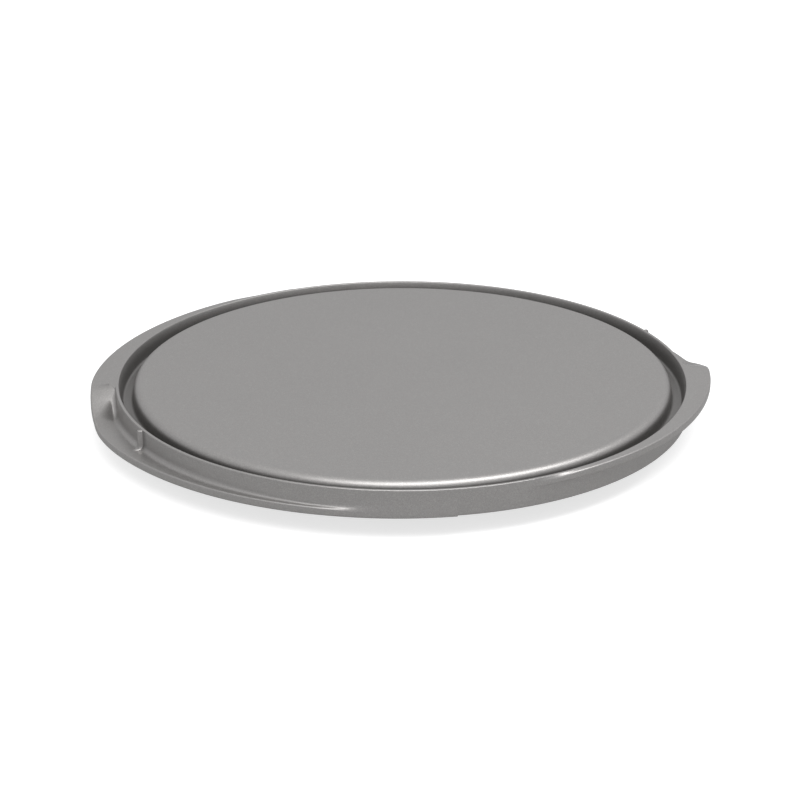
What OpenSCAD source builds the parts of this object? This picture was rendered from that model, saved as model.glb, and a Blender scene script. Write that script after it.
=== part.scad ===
// Round electric griddle. A cast griddle plate with a grease groove and two flat grips
// lifts off a shallow heater base, which nests inside the plate's skirt and stands on feet.
// Millimetres, +Z up. The origin is on the floor under the centre, +X runs through the grips
// and +Y points to the back, where the supply cord comes in.

/* [Griddle plate] */
// Outside radius of the plate's wall
plate_r = 190; // [170:1:230]
// Height of the plate, skirt edge to rim
plate_h = 18; // [17:0.5:24]
// Width of the flat rim
rim_w = 2; // [1.5:0.1:3]
// Thickness of the casting in the skirt and round the groove
cast_t = 4.2; // [3:0.1:5]
// Thickness of the cooking face
face_t = 5.5; // [4:0.1:6.5]
// Radius that rounds the edge of the cooking face
face_round = 5.5; // [3:0.1:6]
// Depth of the grease groove below the rim
groove_d = 11.3; // [9:0.1:11.5]
// Width of the groove at its floor
groove_w = 7.5; // [6:0.1:12]
// How far the groove's outer wall leans out between floor and rim
groove_lean = 2; // [1:0.1:3]
// Fillet radius in the groove's corners
groove_fillet = 2; // [1:0.1:3]
// Radius on the skirt's lower outside edge
skirt_round = 1; // [0.5:0.1:2]

/* [Grips] */
// How far a grip's tip stands out from the wall
grip_reach = 17; // [12:0.5:22]
// How much larger than the wall's radius the arcs are that outline the grips
grip_arc_more = 20.4; // [16:0.1:40]
// Thickness of a grip away from its tip
grip_t = 5.2; // [4:0.1:6.5]
// Thickness of a grip at its tip
grip_tip_t = 3.8; // [3:0.1:4.5]
// Distance along Y over which a grip reaches its full thickness
grip_swell = 150; // [80:5:180]
// Where the ramp between a grip's halves starts next to the wall, ahead of the grip's axis
ramp_start = 22; // [18:1:26]
// Where it ends next to the wall, behind the axis
ramp_end = 2; // [0:1:8]
// Where it starts at the tip, ahead of the axis
ramp_tip_start = 38; // [28:1:42]
// Where it ends at the tip, behind the axis
ramp_tip_end = 29; // [20:1:40]
// Distance from the centre line at which a grip's low half ends
grip_end_gap = 6.6; // [4:0.1:12]
// Distance from the centre line at which a grip's high half starts to leave the wall
grip_fade = 14; // [12:1:30]
// Width of the stiffening rib over each low half
rib_w = 2.5; // [1.5:0.1:4]
// How far a rib stands out from the wall
rib_out = 2.8; // [2:0.1:4]
// Angle of the front rib from the grip axis
rib_angle = 17.8; // [16:0.1:24]
// Angle of the back rib from the grip axis
back_rib_angle = 15.3; // [14:0.1:24]

/* [Base pan] */
// Distance of the pan's wall in from the plate's wall
pan_inset = 30; // [26:1:32]
// Sheet thickness of the pan
pan_t = 0.8; // [0.6:0.1:1.2]
// Gap between the edge of the pan's flange and the inside of the skirt
flange_gap = 1.8; // [1.3:0.1:3.8]
// Height of the hem turned down round the flange
hem_h = 1.8; // [1.4:0.1:3]
// Bend radius inside the pan's corner
pan_bend = 1.2; // [0.8:0.1:1.3]
// Height of a foot
foot_h = 4; // [3.5:0.5:5]
// Radius of a foot
foot_r = 10; // [8:0.5:12]
// Distance of the feet in from the pan's wall
foot_inset = 22; // [20:1:30]
// Number of rest buttons between pan and plate
rest_count = 6; // [3:1:8]
// Height of a rest button's head
rest_h = 1.5; // [1.2:0.1:2]
// Radius of a rest button's head
rest_r = 4.5; // [3.6:0.1:4.8]
// Distance of the rest buttons in from the plate's wall
rest_inset = 10.6; // [10.6:0.1:11.1]

/* [Heater] */
// Thickness of the insulation mat
mat_t = 5; // [4.5:0.1:5.5]
// Gap between the reflector dish and the pan's wall
reflector_gap = 10; // [7:0.5:12]
// Sheet thickness of the reflector
reflector_t = 0.5; // [0.4:0.1:0.8]
// Depth of the electrical bay, from the reflector's straight back wall to the pan's wall
bay_d = 34; // [33:0.5:35]
// Radius of an element's tube
tube_r = 3.3; // [2.8:0.1:3.3]
// Gap between the tubes and the plate above them
tube_gap = 0.4; // [0.3:0.1:1]
// Distance of the outer element's ring in from the pan's wall
outer_ring_inset = 44; // [42:1:55]
// Distance from the outer element's ring in to the inner one's
ring_pitch = 48; // [41:1:61]
// Distance of the outer element's legs from the centre line
outer_leg_x = 24; // [22:0.5:26]
// Distance of the inner element's legs from the centre line
inner_leg_x = 8; // [7.5:0.5:9]
// Bend radius where a ring turns into a leg
leg_bend = 14; // [10:0.5:18]
// How far the legs stand out through the reflector's back wall
leg_out = 12; // [10:0.5:13]
// Radius of the studs on the legs
stud_r = 1.5; // [1.2:0.1:1.6]

/* [Sensor] */
// Radius of the thermostat's body
thermostat_r = 11; // [10:0.5:12]
// Height of the thermostat's body
thermostat_h = 7.7; // [7:0.1:8]
// Radius of the sensor's head
sensor_head_r = 9; // [7:0.5:9.5]
// Radius of the sensor's stem
sensor_stem_r = 2; // [1.5:0.1:2.2]
// Distance the sensor can be pressed down
sensor_travel = 1.5; // [1:0.1:1.8]
// Wire radius of the sensor's spring
spring_wire_r = 0.45; // [0.3:0.05:0.5]

/* [Supply] */
// Radius of the cord that the bush holds
cord_r = 3; // [2.6:0.1:3]
// Gap between the cord and the pan's floor
cord_gap = 1.5; // [1.5:0.05:1.7]
// Wall of the rubber bush round the cord
bush_wall = 1.6; // [1.4:0.1:2]
// Gap between the bush and the pan's flange above it
bush_gap = 0.3; // [0.3:0.1:6]

/* [Hidden] */
$fn = 96;
fit = 0.05;      // radial clearance of what fits in a hole
loose = 0.3;     // radial clearance of a screw in a plain hole
eps = 0.01;      // overlap that makes two solids of one piece join
cut = 1;         // how far a cutter runs past the face that it opens

// levels above the floor, from the feet up
pan_z = foot_h;
pan_floor_z = pan_z + pan_t;
cord_z = pan_floor_z + cord_gap + cord_r;
flange_z = cord_z + cord_r + bush_wall + bush_gap + pan_t;
channel_z = flange_z + rest_h;
rim_z = channel_z + cast_t + groove_d;
skirt_gap = rim_z - plate_h; // height of the skirt edge above the floor
deck_z = rim_z - face_t;
mat_top_z = pan_floor_z + mat_t;
reflector_top_z = mat_top_z + reflector_t;
tube_z = deck_z - tube_gap - tube_r;

// radii across the groove, from the rim inwards
rim_in_r = plate_r - rim_w;
groove_out_r = rim_in_r - groove_lean;
groove_in_r = groove_out_r - groove_w;
cavity_r = groove_in_r - cast_t;
skirt_in_r = plate_r - cast_t;

// radii of the base, from the skirt inwards
flange_r = skirt_in_r - flange_gap;
rest_place_r = plate_r - rest_inset;
pan_r = plate_r - pan_inset;
foot_place_r = pan_r - foot_inset;
reflector_r = pan_r - reflector_gap;
reflector_back = pan_r - bay_d;
outer_ring_r = pan_r - outer_ring_inset;
inner_ring_r = outer_ring_r - ring_pitch;
leg_end_y = reflector_back + leg_out;

// what locates the plate on the rest buttons
spigot_r = 2;
spigot_h = 1.5;
spigot_hole_r = spigot_r + 0.3;
spigot_hole_d = spigot_h + 0.5;

// the grips' outline is where two large arcs cross
grip_span = 2 * (plate_r + grip_reach);
grip_arc_r = plate_r + grip_arc_more;
grip_arc_shift = 19.5;
grip_root = 1.5;       // depth to which a grip is rooted in the wall
grip_fade_len = 32;    // length over which a high half comes clear of the wall

// the electrical bay behind the reflector
bay_y = reflector_back + 8;
stud_len = 16;
seal_r = tube_r;
seal_len = 6;
strap_y = leg_end_y + 9;
strap_t = 0.8;
strap_h = 6;
strap_out = 10;
strap_in = 4;
nut_af = 5.5;
nut_h = 2.4;
lead_r = 1.3;
lead_end_out = 7.5;

block_w = 36;
block_d = 12;
block_h = 11;
block_x = 36;
pole_pitch = 12;
pole_z = pan_floor_z + 5.2;
fuse_y = reflector_back + 3.5;
fuse_z = 14;
fuse_r = 2;
fuse_x0 = -30;
fuse_x1 = -14;
earth_x = 66;
earth_y = reflector_back + 7;
earth_stud_r = 2;
earth_stud_h = 8;
earth_nut_r = 3.5 / cos(30);

clamp_w = 20;
clamp_d = 6;
clamp_y = pan_r - 11;
clamp_top = cord_z + cord_r + 1.6;
clamp_screw_x = 7;
clamp_screw_r = 1.25;

bush_neck_r = cord_r + 0.65;
bush_hole_r = bush_neck_r + fit;

bracket_t = 0.8;
bracket_half = 24;
bracket_w = 12;
bracket_foot = 8;
bracket_z = reflector_top_z + thermostat_h;
bracket_hole_x = bracket_half + bracket_foot / 2;
sensor_gap = 0.05;
sensor_head_h = 1.5;
sensor_head_z = deck_z - sensor_gap - sensor_head_h;
sensor_stem_z = reflector_top_z + thermostat_h - 4.5;
tab_x = 6;
tab_z = reflector_top_z + 2.7;
tab_len = 4;
tab_y = thermostat_r + tab_len;

clip_t = 1;
clip_w = 14;
clip_tab = 9;
clip_screw_at = 5.5;
outer_clip_angles = [20, 160, 215, 270, 325];
inner_clip_angles = [30, 150, 270];
screw_r = 1.25;
screw_head_r = 2.4;
screw_head_h = 1.6;
screw_below = 1.6;

spacer_r = 3.5;
spacer_place_r = outer_ring_r - 21;
spacer_screw_r = 1.5;
spacer_angles = [45, 135, 225, 315];
foot_angles = [45, 135, 225, 315];
foot_screw_r = 2;
foot_head_r = 4;
foot_head_h = 1.8;
foot_recess = 2.4;
foot_nut_af = 7;
foot_nut_h = 3.2;

plate_color = [0.60, 0.59, 0.58];
steel_color = [0.72, 0.73, 0.74];
pan_color = [0.16, 0.16, 0.17];
rubber_color = [0.10, 0.10, 0.10];
brass_color = [0.80, 0.66, 0.36];
ceramic_color = [0.92, 0.90, 0.85];

// The sliver between a square corner at [x, y] and a circle of radius r that touches both of
// its sides. sx and sy say on which side of the corner the circle lies.
module corner(x, y, r, sx, sy) {
    difference() {
        translate([x + (sx < 0 ? -r : 0), y + (sy < 0 ? -r : 0)])
            square(r);
        translate([x + sx * r, y + sy * r])
            circle(r);
    }
}

// Places its children at a radius and each of a list of angles.
module around(place_r, angles) {
    for (a = angles)
        rotate([0, 0, a])
            translate([place_r, 0, 0])
                children();
}

// A point on the smooth curve through a list of points, u counting from the first of them.
function before(points, i) = i < 0 ? 2 * points[0] - points[1] : points[i];
function after(points, i) =
    let (last = len(points) - 1)
    i > last ? 2 * points[last] - points[last - 1] : points[i];
function on_curve(points, u) =
    let (
        i = min(floor(u), len(points) - 2),
        t = u - i,
        p0 = before(points, i - 1),
        p1 = points[i],
        p2 = points[i + 1],
        p3 = after(points, i + 2)
    )
    0.5 * (2 * p1 + (p2 - p0) * t + (2 * p0 - 5 * p1 + 4 * p2 - p3) * t ^ 2
        + (3 * p1 - p0 - 3 * p2 + p3) * t ^ 3);

// A closed round tube along a path. Its end faces are square to the directions first and final.
module tube(path, r, sides, first, final) {
    last = len(path) - 1;
    rings = [for (i = [0 : last])
        let (
            along = i == 0 ? first : i == last ? final : path[i + 1] - path[i - 1],
            level = cross(along, [0, 0, 1]),
            u = level / norm(level),
            steep = cross(u, along),
            v = steep / norm(steep)
        )
        for (k = [0 : sides - 1])
            path[i] + r * (cos(360 * k / sides) * u + sin(360 * k / sides) * v)];
    walls = [for (i = [0 : last - 1], k = [0 : sides - 1])
        let (next = (k + 1) % sides)
        [i * sides + k, (i + 1) * sides + k, (i + 1) * sides + next, i * sides + next]];
    start_face = [for (k = [0 : sides - 1]) k];
    end_face = [for (k = [sides - 1 : -1 : 0]) last * sides + k];
    polyhedron(rings, concat([start_face], walls, [end_face]));
}

// An insulated lead that bends smoothly through a list of points and has square ends.
module wire(points, r) {
    last = len(points) - 1;
    path = [for (i = [0 : 4 * last]) on_curve(points, i / 4)];
    tube(path, r, 8, points[1] - points[0], points[last] - points[last - 1]);
}

rest_angles = [for (i = [0 : rest_count - 1]) 30 + i * 360 / rest_count];

// ---- Griddle plate ----------------------------------------------------------------------

// Half section of the round body, from the axis out.
module plate_section() {
    lean = atan2(groove_lean, groove_d);
    floor_z = rim_z - groove_d;
    reach = groove_fillet / tan((90 + lean) / 2);
    difference() {
        translate([0, skirt_gap])
            square([plate_r, plate_h]);
        // grease groove
        polygon([
            [groove_in_r, floor_z],
            [groove_out_r, floor_z],
            [rim_in_r, rim_z],
            [rim_in_r, rim_z + cut],
            [groove_in_r, rim_z + cut]
        ]);
        corner(groove_in_r, rim_z, face_round, -1, -1);
        // underside: the hollow below the cooking face and the step inside the skirt
        translate([-cut, skirt_gap - cut])
            square([cavity_r + cut, deck_z - skirt_gap + cut]);
        translate([cavity_r - eps, skirt_gap - cut])
            square([skirt_in_r - cavity_r + eps, channel_z - skirt_gap + cut]);
        corner(plate_r, skirt_gap, skirt_round, -1, 1);
    }
    corner(cavity_r, deck_z, groove_fillet, -1, -1);
    corner(groove_in_r, floor_z, groove_fillet, 1, 1);
    // fillet between the groove's floor and its leaning outer wall
    difference() {
        polygon([
            [groove_out_r - reach, floor_z],
            [groove_out_r, floor_z],
            [groove_out_r + reach * sin(lean), floor_z + reach * cos(lean)],
            [groove_out_r - reach, floor_z + groove_fillet]
        ]);
        translate([groove_out_r - reach, floor_z + groove_fillet])
            circle(groove_fillet);
    }
}

// Thickness of a grip at a distance y along it.
function swell(y) =
    let (far = min(abs(y), grip_swell) / grip_swell)
    grip_tip_t + (grip_t - grip_tip_t) * (1 - (1 - far) ^ 2);

// How much of the ramp's drop lies behind a point that is a share u along it. It is straight,
// and rounded at both ends.
function descent(u) =
    let (
        soft = 0.2,
        near = min(u, 1 - u),
        part = (near < soft ? near ^ 2 / (2 * soft) : near - soft / 2) / (1 - soft)
    )
    u < 0.5 ? part : 1 - part;
function grip_top(y, u) = plate_h - (plate_h - swell(y)) * descent(u);

// A grip seen from above. Its two halves are outlined by arcs that cross beyond its tip.
module grip_outline() {
    reach = grip_arc_r;
    fade_x = grip_fade + grip_fade_len;
    difference() {
        intersection() {
            translate([0, grip_arc_shift])
                circle(grip_arc_r, $fn = 360);
            translate([0, -grip_arc_shift])
                circle(grip_arc_r, $fn = 360);
            circle(grip_span / 2, $fn = 360);
            translate([grip_end_gap, -reach])
                square([reach, 2 * reach]);
        }
        circle(plate_r - grip_root, $fn = 360);
        // the high half leaves the wall at a slant
        polygon([
            [0, -sqrt(plate_r ^ 2 - grip_fade ^ 2)],
            [grip_fade, -sqrt(plate_r ^ 2 - grip_fade ^ 2)],
            [fade_x, grip_arc_shift - sqrt(grip_arc_r ^ 2 - fade_x ^ 2)],
            [fade_x, -reach],
            [0, -reach]
        ]);
    }
}

// The right-hand grip's levels. Its front half is flush with the rim and its back half with
// the skirt edge, and the ramp between them fans out towards the tip.
module grip_levels() {
    far = [50, 75, 100, 125, 150];
    reach = grip_arc_r;
    shares = [0, 0.05, 0.1, 0.15, 0.2, 0.35, 0.5, 0.65, 0.8, 0.85, 0.9, 0.95, 1];
    sections = [
        [0, -ramp_start, ramp_end],
        [plate_r - grip_root, -ramp_start, ramp_end],
        [grip_span / 2 + cut, -ramp_tip_start, ramp_tip_end]
    ];
    chains = [for (s = sections) concat(
        [[-reach, 0]],
        [for (i = [len(far) - 1 : -1 : 0]) [-far[i], 0]],
        [for (u = shares) [s[1] + (s[2] - s[1]) * u, u]],
        [for (y = far) [y, 1]],
        [[reach, 1]]
    )];
    count = len(chains[0]);
    points = [for (j = [0 : 2]) each concat(
        [for (p = chains[j]) [sections[j][0], p[0], grip_top(p[0], p[1])]],
        [for (i = [count - 1 : -1 : 0])
            let (p = chains[j][i])
            [sections[j][0], p[0], grip_top(p[0], p[1]) - swell(p[0])]]
    )];
    loop = 2 * count;
    skin = [for (j = [0 : 1], k = [0 : loop - 1])
        let (
            a = j * loop + k,
            b = j * loop + (k + 1) % loop,
            c = b + loop,
            d = a + loop
        )
        each [[a, b, c], [a, c, d]]];
    inner_end = [for (i = [0 : count - 2])
        each [[i, loop - 2 - i, i + 1], [i, loop - 1 - i, loop - 2 - i]]];
    outer_end = [for (i = [0 : count - 2])
        let (a = 2 * loop + i, b = 3 * loop - 1 - i)
        each [[a, a + 1, b - 1], [a, b - 1, b]]];
    polyhedron(points, concat(inner_end, skin, outer_end));
}

module grip() {
    translate([0, 0, skirt_gap])
        intersection() {
            linear_extrude(plate_h)
                grip_outline();
            grip_levels();
        }
}

// A stiffening rib that stands on a grip's low half, against the wall.
module rib() {
    low_z = grip_tip_t / 2;
    translate([plate_r - grip_root, -rib_w / 2, skirt_gap + low_z])
        cube([grip_root + rib_out, rib_w, plate_h - low_z - 0.6]);
}

module griddle_plate() {
    color(plate_color)
        difference() {
            union() {
                rotate_extrude($fn = 360)
                    plate_section();
                grip();
                rotate([0, 0, 180])
                    grip();
                rotate([0, 0, back_rib_angle])
                    rib();
                rotate([0, 0, 180 + rib_angle])
                    rib();
            }
            // blind holes that drop over the rest buttons' spigots
            around(rest_place_r, rest_angles)
                translate([0, 0, channel_z - cut])
                    cylinder(r = spigot_hole_r, h = spigot_hole_d + cut);
        }
}

// ---- Base pan and what holds the plate ------------------------------------------------------

module pan_section() {
    outer_bend = pan_bend + pan_t;
    difference() {
        union() {
            translate([0, pan_z])
                square([pan_r, flange_z - pan_z]);
            translate([0, flange_z - pan_t])
                square([flange_r, pan_t]);
            translate([flange_r - pan_t, flange_z - hem_h])
                square([pan_t, hem_h]);
        }
        difference() {
            translate([-cut, pan_floor_z])
                square([pan_r - pan_t + cut, flange_z]);
            corner(pan_r - pan_t, pan_floor_z, pan_bend, -1, 1);
        }
        corner(pan_r, pan_z, outer_bend, -1, 1);
    }
}

module base_pan() {
    color(pan_color)
        difference() {
            rotate_extrude($fn = 180)
                pan_section();
            around(rest_place_r, rest_angles)
                translate([0, 0, flange_z - pan_t - cut])
                    cylinder(r = spigot_r + fit, h = pan_t + 2 * cut);
            around(foot_place_r, foot_angles)
                translate([0, 0, pan_z - cut])
                    cylinder(r = foot_screw_r + loose, h = pan_t + 2 * cut);
            around(spacer_place_r, spacer_angles)
                translate([0, 0, pan_z - cut])
                    cylinder(r = spacer_screw_r + fit, h = pan_t + 2 * cut);
            for (side = [-1, 1])
                translate([side * clamp_screw_x, clamp_y + clamp_d / 2, pan_z - cut])
                    cylinder(r = clamp_screw_r + fit, h = pan_t + 2 * cut);
            // hole for the cord bush, through the back wall
            translate([0, pan_r + cut, cord_z])
                rotate([90, 0, 0])
                    cylinder(r = bush_hole_r, h = pan_t + 2 * cut + 2);
        }
}

module plate_rests() {
    barb_r = spigot_r + 0.8;
    barb_h = 1;
    color(rubber_color)
        around(rest_place_r, rest_angles) {
            translate([0, 0, flange_z])
                cylinder(r = rest_r, h = rest_h);
            translate([0, 0, flange_z - pan_t - barb_h])
                cylinder(r = spigot_r, h = pan_t + barb_h + rest_h + spigot_h);
            translate([0, 0, flange_z - pan_t - barb_h])
                cylinder(r = barb_r, h = barb_h);
        }
}

module feet() {
    color(rubber_color)
        around(foot_place_r, foot_angles)
            difference() {
                cylinder(r = foot_r, h = foot_h);
                translate([0, 0, -cut])
                    cylinder(r = foot_head_r + 0.6, h = foot_recess + cut);
                translate([0, 0, -cut])
                    cylinder(r = foot_screw_r + fit, h = foot_h + 2 * cut);
            }
}

module foot_screws() {
    color(steel_color)
        around(foot_place_r, foot_angles) {
            translate([0, 0, foot_recess - foot_head_h])
                cylinder(r = foot_head_r, h = foot_head_h);
            translate([0, 0, foot_recess - eps])
                cylinder(r = foot_screw_r, h = pan_floor_z + foot_nut_h - foot_recess + eps);
        }
}

module foot_nuts() {
    color(steel_color)
        around(foot_place_r, foot_angles)
            translate([0, 0, pan_floor_z])
                difference() {
                    cylinder(d = foot_nut_af / cos(30), h = foot_nut_h, $fn = 6);
                    translate([0, 0, -cut])
                        cylinder(r = foot_screw_r + fit, h = foot_nut_h + 2 * cut);
                }
}

// ---- Insulation and reflector -----------------------------------------------------------------

// A disc cut straight at the back, to leave the electrical bay free.
module dish_outline(r, back) {
    intersection() {
        circle(r, $fn = 180);
        translate([-r, -r])
            square([2 * r, r + back]);
    }
}

// Where screws pass down through the reflector: the clips' and the bracket's.
module reflector_screw_places() {
    around(outer_ring_r, outer_clip_angles)
        translate([0, clip_screw_at, 0])
            children();
    around(inner_ring_r, inner_clip_angles)
        translate([0, clip_screw_at, 0])
            children();
    for (side = [-1, 1])
        translate([side * bracket_hole_x, 0, 0])
            children();
}

module insulation_mat() {
    color([0.86, 0.84, 0.78])
        difference() {
            translate([0, 0, pan_floor_z])
                linear_extrude(mat_t)
                    dish_outline(reflector_r - 2, reflector_back - 2);
            around(spacer_place_r, spacer_angles)
                translate([0, 0, pan_floor_z - cut])
                    cylinder(r = spacer_r + loose, h = mat_t + 2 * cut);
            around(foot_place_r, foot_angles)
                translate([0, 0, pan_floor_z - cut])
                    cylinder(r = foot_nut_af / 2 + 1.5, h = mat_t + 2 * cut);
            reflector_screw_places()
                translate([0, 0, pan_floor_z - cut])
                    cylinder(r = screw_r + loose, h = mat_t + 2 * cut);
        }
}

module heat_reflector() {
    wall_h = tube_z - mat_top_z - 3;
    notch_z = mat_top_z + 5.7;
    notch_half = outer_leg_x + 20;
    color([0.80, 0.81, 0.82])
        difference() {
            translate([0, 0, mat_top_z])
                linear_extrude(wall_h)
                    dish_outline(reflector_r, reflector_back);
            translate([0, 0, reflector_top_z])
                linear_extrude(wall_h)
                    dish_outline(reflector_r - reflector_t, reflector_back - reflector_t);
            // notch that the legs and leads pass through
            translate([-notch_half, reflector_back - cut, notch_z])
                cube([2 * notch_half, 2 * cut, wall_h]);
            around(spacer_place_r, spacer_angles)
                translate([0, 0, mat_top_z - cut])
                    cylinder(r = spacer_screw_r + fit, h = reflector_t + 2 * cut);
            reflector_screw_places()
                translate([0, 0, mat_top_z - cut])
                    cylinder(r = screw_r + fit, h = reflector_t + 2 * cut);
        }
}

module reflector_spacers() {
    color(steel_color)
        around(spacer_place_r, spacer_angles)
            translate([0, 0, pan_floor_z])
                difference() {
                    cylinder(r = spacer_r, h = mat_t);
                    translate([0, 0, -cut])
                        cylinder(r = spacer_screw_r + fit, h = mat_t + 2 * cut);
                }
}

module reflector_screws() {
    head_h = 1.8;
    color(steel_color)
        around(spacer_place_r, spacer_angles) {
            translate([0, 0, pan_z])
                cylinder(r = spacer_screw_r, h = reflector_top_z - pan_z + eps);
            translate([0, 0, reflector_top_z])
                cylinder(r = 2.75, h = head_h);
        }
}

// ---- Heating elements ---------------------------------------------------------------------------

// A sheathed tube bent to an open ring, with two legs that run to the back.
module element(ring_r, leg_x) {
    sides = 16;
    bend_x = leg_x + leg_bend;
    bend_y = sqrt((ring_r + leg_bend) ^ 2 - bend_x ^ 2);
    open = atan2(bend_y, bend_x);
    bend_steps = 8;
    ring_steps = 72;
    bend = [for (i = [0 : bend_steps])
        let (a = 180 + open * i / bend_steps)
        [bend_x + leg_bend * cos(a), bend_y + leg_bend * sin(a)]];
    ring = [for (i = [1 : ring_steps - 1])
        let (a = open - (180 + 2 * open) * i / ring_steps)
        [ring_r * cos(a), ring_r * sin(a)]];
    path = concat(
        [[leg_x, leg_end_y, tube_z]],
        [for (p = bend) [p[0], p[1], tube_z]],
        [for (p = ring) [p[0], p[1], tube_z]],
        [for (i = [bend_steps : -1 : 0]) [-bend[i][0], bend[i][1], tube_z]],
        [[-leg_x, leg_end_y, tube_z]]
    );
    tube(path, tube_r, sides, [0, -1, 0], [0, 1, 0]);
}

module outer_element() {
    color([0.35, 0.35, 0.34])
        element(outer_ring_r, outer_leg_x);
}

module inner_element() {
    color([0.35, 0.35, 0.34])
        element(inner_ring_r, inner_leg_x);
}

// Places its children at the end of each leg, with +Z pointing along the leg to the back.
module leg_ends() {
    for (x = [-outer_leg_x, -inner_leg_x, inner_leg_x, outer_leg_x])
        translate([x, leg_end_y, tube_z])
            rotate([-90, 0, 0])
                children();
}

module element_seals() {
    color(ceramic_color)
        leg_ends()
            difference() {
                cylinder(r = seal_r, h = seal_len);
                translate([0, 0, -cut])
                    cylinder(r = stud_r + fit, h = seal_len + 2 * cut);
            }
}

module element_studs() {
    color(steel_color)
        leg_ends()
            cylinder(r = stud_r, h = stud_len);
}

module strap(side) {
    x0 = inner_leg_x - strap_in;
    x1 = outer_leg_x + strap_out;
    difference() {
        translate([side > 0 ? x0 : -x1, strap_y, tube_z - strap_h / 2])
            cube([x1 - x0, strap_t, strap_h]);
        leg_ends()
            cylinder(r = stud_r + fit, h = stud_len);
    }
}

module live_strap() {
    color(brass_color)
        strap(1);
}

module neutral_strap() {
    color(brass_color)
        strap(-1);
}

module stud_nuts() {
    color(steel_color)
        leg_ends()
            translate([0, 0, strap_y + strap_t - leg_end_y])
                difference() {
                    cylinder(d = nut_af / cos(30), h = nut_h, $fn = 6);
                    translate([0, 0, -cut])
                        cylinder(r = stud_r + fit, h = nut_h + 2 * cut);
                }
}

// An upright of spring steel with a snap-in notch for the tube, on a tab screwed down.
module clip() {
    top_z = tube_z + 1.2;
    difference() {
        translate([-clip_w / 2, 0, reflector_top_z])
            cube([clip_w, clip_t, top_z - reflector_top_z]);
        translate([0, -cut, tube_z])
            rotate([-90, 0, 0])
                cylinder(r = tube_r + loose, h = clip_t + 2 * cut);
    }
    difference() {
        translate([-clip_w / 2, 0, reflector_top_z])
            cube([clip_w, clip_tab, clip_t]);
        translate([0, clip_screw_at, reflector_top_z - cut])
            cylinder(r = screw_r + fit, h = clip_t + 2 * cut);
    }
}

module element_clips() {
    color(steel_color) {
        around(outer_ring_r, outer_clip_angles)
            clip();
        around(inner_ring_r, inner_clip_angles)
            clip();
    }
}

module small_screw(under_head_z) {
    translate([0, 0, mat_top_z - screw_below])
        cylinder(r = screw_r, h = under_head_z - mat_top_z + screw_below + eps);
    translate([0, 0, under_head_z])
        cylinder(r = screw_head_r, h = screw_head_h);
}

module clip_screws() {
    color(steel_color) {
        around(outer_ring_r, outer_clip_angles)
            translate([0, clip_screw_at, 0])
                small_screw(reflector_top_z + clip_t);
        around(inner_ring_r, inner_clip_angles)
            translate([0, clip_screw_at, 0])
                small_screw(reflector_top_z + clip_t);
    }
}

// ---- Thermostat and its sprung sensor --------------------------------------------------------------

module thermostat_body() {
    base_h = 4.7;
    color(ceramic_color)
        difference() {
            union() {
                translate([0, 0, reflector_top_z])
                    cylinder(r = thermostat_r, h = thermostat_h);
                translate([-thermostat_r, 0, reflector_top_z])
                    cube([2 * thermostat_r, thermostat_r, base_h]);
            }
            translate([0, 0, sensor_stem_z - sensor_travel - 0.5])
                cylinder(r = sensor_stem_r + fit, h = thermostat_h);
        }
}

module thermostat_tabs() {
    tab_w = 4;
    tab_t = 0.8;
    color(brass_color)
        for (side = [-1, 1])
            translate([side * tab_x - tab_w / 2, thermostat_r, tab_z - tab_t / 2])
                cube([tab_w, tab_len, tab_t]);
}

module thermostat_bracket() {
    color(steel_color)
        difference() {
            union() {
                translate([-bracket_half, -bracket_w / 2, bracket_z])
                    cube([2 * bracket_half, bracket_w, bracket_t]);
                for (side = [0, 1])
                    mirror([side, 0, 0]) {
                        translate([bracket_half - bracket_t, -bracket_w / 2, reflector_top_z])
                            cube([bracket_t, bracket_w, thermostat_h + bracket_t]);
                        translate([bracket_half - bracket_t, -bracket_w / 2, reflector_top_z])
                            cube([bracket_foot + bracket_t, bracket_w, bracket_t]);
                    }
            }
            translate([0, 0, bracket_z - cut])
                cylinder(r = sensor_stem_r + loose, h = bracket_t + 2 * cut);
            for (side = [-1, 1])
                translate([side * bracket_hole_x, 0, reflector_top_z - cut])
                    cylinder(r = screw_r + fit, h = bracket_t + 2 * cut);
        }
}

module bracket_screws() {
    color(steel_color)
        for (side = [-1, 1])
            translate([side * bracket_hole_x, 0, 0])
                small_screw(reflector_top_z + bracket_t);
}

module sensor_plunger() {
    color([0.83, 0.84, 0.85]) {
        translate([0, 0, sensor_head_z])
            cylinder(r = sensor_head_r, h = sensor_head_h);
        translate([0, 0, sensor_stem_z])
            cylinder(r = sensor_stem_r, h = sensor_head_z - sensor_stem_z + eps);
    }
}

// A coil of round wire between the bracket and the sensor's head.
module sensor_spring() {
    coil_r = sensor_stem_r + 2.2;
    turns = 4;
    sides = 8;
    steps = 18 * turns;
    clear = 0.03;
    low_z = bracket_z + bracket_t + spring_wire_r + clear;
    high_z = sensor_head_z - spring_wire_r - clear;
    rings = [for (i = [0 : steps])
        let (turn = 360 * turns * i / steps, z = low_z + (high_z - low_z) * i / steps)
        for (k = [0 : sides - 1])
            let (a = 360 * k / sides, r = coil_r + spring_wire_r * cos(a))
            [r * cos(turn), r * sin(turn), z + spring_wire_r * sin(a)]];
    walls = [for (i = [0 : steps - 1], k = [0 : sides - 1])
        let (next = (k + 1) % sides)
        [i * sides + k, (i + 1) * sides + k, (i + 1) * sides + next, i * sides + next]];
    start_face = [for (k = [0 : sides - 1]) k];
    end_face = [for (k = [sides - 1 : -1 : 0]) steps * sides + k];
    color(steel_color)
        polyhedron(rings, concat([start_face], walls, [end_face]));
}

// ---- Electrical bay ----------------------------------------------------------------------------------

module thermal_fuse() {
    color(brass_color)
        translate([fuse_x0, fuse_y, fuse_z])
            rotate([0, 90, 0])
                cylinder(r = fuse_r, h = fuse_x1 - fuse_x0);
}

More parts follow.
